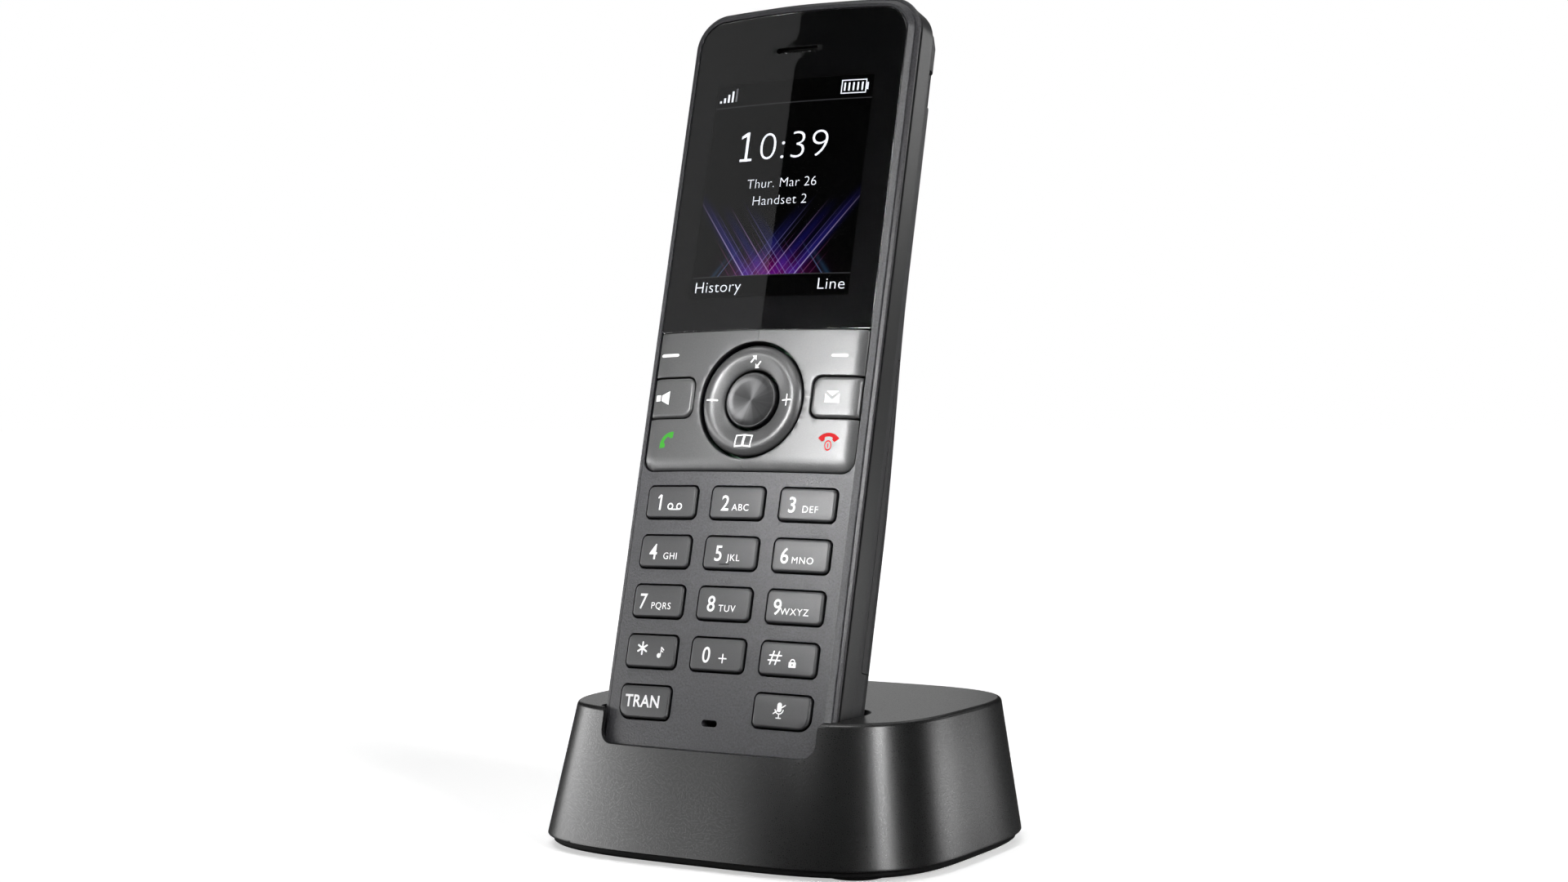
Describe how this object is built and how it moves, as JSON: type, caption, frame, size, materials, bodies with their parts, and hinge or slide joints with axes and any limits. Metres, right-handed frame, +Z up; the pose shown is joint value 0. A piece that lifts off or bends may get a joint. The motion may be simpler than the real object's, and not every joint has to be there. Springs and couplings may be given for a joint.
{
  "type": "cordless telephone with charging cradle",
  "caption": "Cordless handset with a colour display and keypad, leaning in a tapered desktop charging cradle.",
  "frame": {"origin": "centre of the assembly's bounding box, on the table plane under the cradle's feet", "axes": "+Z up, +X to the handset's right as seen from the front, -Y towards the user (the display and keys face -Y and a little up)"},
  "size_m": [0.0778, 0.0642, 0.1497],
  "materials": {
    "cradle_shell": "satin dark grey moulding",
    "black_plastic": "matt black moulding",
    "rubber": "matt rubber",
    "steel": "plain steel",
    "circuit_board": "solder mask",
    "gold_contact": "gold plated",
    "casing": "fine textured dark grey",
    "band": "satin grey",
    "lens": "tinted gloss",
    "display": "lit colour display",
    "battery": "wrapped cell",
    "panel": "satin silver",
    "select": "spun satin grey",
    "digit_key": "satin grey"
  },
  "bodies": {
    "cradle": {"cradle_housing": "cradle_shell", "cradle_well": "black_plastic", "cradle_base_plate": "black_plastic", "cradle_feet": "rubber", "cradle_screws": "steel", "cradle_ballast": "steel", "cradle_circuit_board": "circuit_board", "cradle_power_inlet": "steel", "contact_block": "black_plastic"},
    "contact_left": {"charge_contact_left": "gold_contact"},
    "contact_right": {"charge_contact_right": "gold_contact"},
    "handset": {"front_casing": "casing", "side_band": "band", "rear_casing": "casing", "display_lens": "lens", "display_panel": "display", "display_frame": "steel", "earpiece_mesh": "steel", "earpiece_speaker": "black_plastic", "loudspeaker": "black_plastic", "microphone": "gold_contact", "microphone_boot": "rubber", "main_circuit_board": "circuit_board", "dome_sheet": "steel", "keypad_mat": "rubber", "battery_pack": "battery", "battery_contacts": "gold_contact", "charging_pads": "gold_contact", "antenna": "gold_contact", "headset_jack": "black_plastic", "vibration_motor": "black_plastic", "casing_screws": "steel"},
    "battery_door": {"battery_door": "casing"},
    "nav_pivot": {"nav_pivot_frame": "steel"},
    "nav_ring": {"nav_ring": "panel"},
    "select_key": {"select_key": "select"},
    "key_1": {"key_1": "digit_key"},
    "key_2": {"key_2": "digit_key"},
    "key_3": {"key_3": "digit_key"},
    "key_4": {"key_4": "digit_key"},
    "key_5": {"key_5": "digit_key"},
    "key_6": {"key_6": "digit_key"},
    "key_7": {"key_7": "digit_key"},
    "key_8": {"key_8": "digit_key"},
    "key_9": {"key_9": "digit_key"},
    "key_star": {"key_star": "digit_key"},
    "key_0": {"key_0": "digit_key"},
    "key_hash": {"key_hash": "digit_key"},
    "key_transfer": {"key_transfer": "digit_key"},
    "key_mute": {"key_mute": "digit_key"},
    "soft_key_left": {"soft_key_left": "panel"},
    "soft_key_right": {"soft_key_right": "panel"},
    "talk_key": {"talk_key": "panel"},
    "end_key": {"end_key": "panel"},
    "speaker_key": {"speaker_key": "panel"},
    "message_key": {"message_key": "panel"}
  },
  "joints": [
    {"name": "handset_lift", "type": "slide", "parent": "cradle", "child": "handset", "axis": [0, 0.2504, 0.9681], "range_m": [0, 0.06]},
    {"name": "battery_door_off", "type": "slide", "parent": "handset", "child": "battery_door", "axis": [0, 0.9681, -0.2504], "range_m": [0, 0.016]},
    {"name": "contact_left_press", "type": "slide", "parent": "cradle", "child": "contact_left", "axis": [0, -0.2504, -0.9681], "range_m": [0, 0.0008], "stiffness_N_per_m": 400},
    {"name": "contact_right_press", "type": "slide", "parent": "cradle", "child": "contact_right", "axis": [0, -0.2504, -0.9681], "range_m": [0, 0.0008], "stiffness_N_per_m": 400},
    {"name": "nav_tilt_up_down", "type": "hinge", "parent": "handset", "child": "nav_pivot", "pos_m": [0, -0.0079, 0.07741], "axis": [1, 0, 0], "range_deg": [-2.5, 2.5], "stiffness_Nm_per_rad": 0.05},
    {"name": "nav_tilt_sideways", "type": "hinge", "parent": "nav_pivot", "child": "nav_ring", "pos_m": [0, -0.0079, 0.07741], "axis": [0, 0.2504, 0.9681], "range_deg": [-2.5, 2.5], "stiffness_Nm_per_rad": 0.05},
    {"name": "select_key_press", "type": "slide", "parent": "handset", "child": "select_key", "axis": [0, 0.9681, -0.2504], "range_m": [0, 0.0005], "stiffness_N_per_m": 400},
    {"name": "soft_key_left_press", "type": "slide", "parent": "handset", "child": "soft_key_left", "axis": [0, 0.9681, -0.2504], "range_m": [0, 0.0005], "stiffness_N_per_m": 400},
    {"name": "soft_key_right_press", "type": "slide", "parent": "handset", "child": "soft_key_right", "axis": [0, 0.9681, -0.2504], "range_m": [0, 0.0005], "stiffness_N_per_m": 400},
    {"name": "talk_key_press", "type": "slide", "parent": "handset", "child": "talk_key", "axis": [0, 0.9681, -0.2504], "range_m": [0, 0.0005], "stiffness_N_per_m": 400},
    {"name": "end_key_press", "type": "slide", "parent": "handset", "child": "end_key", "axis": [0, 0.9681, -0.2504], "range_m": [0, 0.0005], "stiffness_N_per_m": 400},
    {"name": "speaker_key_press", "type": "slide", "parent": "handset", "child": "speaker_key", "axis": [0, 0.9681, -0.2504], "range_m": [0, 0.0005], "stiffness_N_per_m": 400},
    {"name": "message_key_press", "type": "slide", "parent": "handset", "child": "message_key", "axis": [0, 0.9681, -0.2504], "range_m": [0, 0.0005], "stiffness_N_per_m": 400},
    {"name": "key_1_press", "type": "slide", "parent": "handset", "child": "key_1", "axis": [0, 0.9681, -0.2504], "range_m": [0, 0.0005], "stiffness_N_per_m": 400},
    {"name": "key_2_press", "type": "slide", "parent": "handset", "child": "key_2", "axis": [0, 0.9681, -0.2504], "range_m": [0, 0.0005], "stiffness_N_per_m": 400},
    {"name": "key_3_press", "type": "slide", "parent": "handset", "child": "key_3", "axis": [0, 0.9681, -0.2504], "range_m": [0, 0.0005], "stiffness_N_per_m": 400},
    {"name": "key_4_press", "type": "slide", "parent": "handset", "child": "key_4", "axis": [0, 0.9681, -0.2504], "range_m": [0, 0.0005], "stiffness_N_per_m": 400},
    {"name": "key_5_press", "type": "slide", "parent": "handset", "child": "key_5", "axis": [0, 0.9681, -0.2504], "range_m": [0, 0.0005], "stiffness_N_per_m": 400},
    {"name": "key_6_press", "type": "slide", "parent": "handset", "child": "key_6", "axis": [0, 0.9681, -0.2504], "range_m": [0, 0.0005], "stiffness_N_per_m": 400},
    {"name": "key_7_press", "type": "slide", "parent": "handset", "child": "key_7", "axis": [0, 0.9681, -0.2504], "range_m": [0, 0.0005], "stiffness_N_per_m": 400},
    {"name": "key_8_press", "type": "slide", "parent": "handset", "child": "key_8", "axis": [0, 0.9681, -0.2504], "range_m": [0, 0.0005], "stiffness_N_per_m": 400},
    {"name": "key_9_press", "type": "slide", "parent": "handset", "child": "key_9", "axis": [0, 0.9681, -0.2504], "range_m": [0, 0.0005], "stiffness_N_per_m": 400},
    {"name": "key_star_press", "type": "slide", "parent": "handset", "child": "key_star", "axis": [0, 0.9681, -0.2504], "range_m": [0, 0.0005], "stiffness_N_per_m": 400},
    {"name": "key_0_press", "type": "slide", "parent": "handset", "child": "key_0", "axis": [0, 0.9681, -0.2504], "range_m": [0, 0.0005], "stiffness_N_per_m": 400},
    {"name": "key_hash_press", "type": "slide", "parent": "handset", "child": "key_hash", "axis": [0, 0.9681, -0.2504], "range_m": [0, 0.0005], "stiffness_N_per_m": 400},
    {"name": "key_transfer_press", "type": "slide", "parent": "handset", "child": "key_transfer", "axis": [0, 0.9681, -0.2504], "range_m": [0, 0.0005], "stiffness_N_per_m": 400},
    {"name": "key_mute_press", "type": "slide", "parent": "handset", "child": "key_mute", "axis": [0, 0.9681, -0.2504], "range_m": [0, 0.0005], "stiffness_N_per_m": 400}
  ]
}
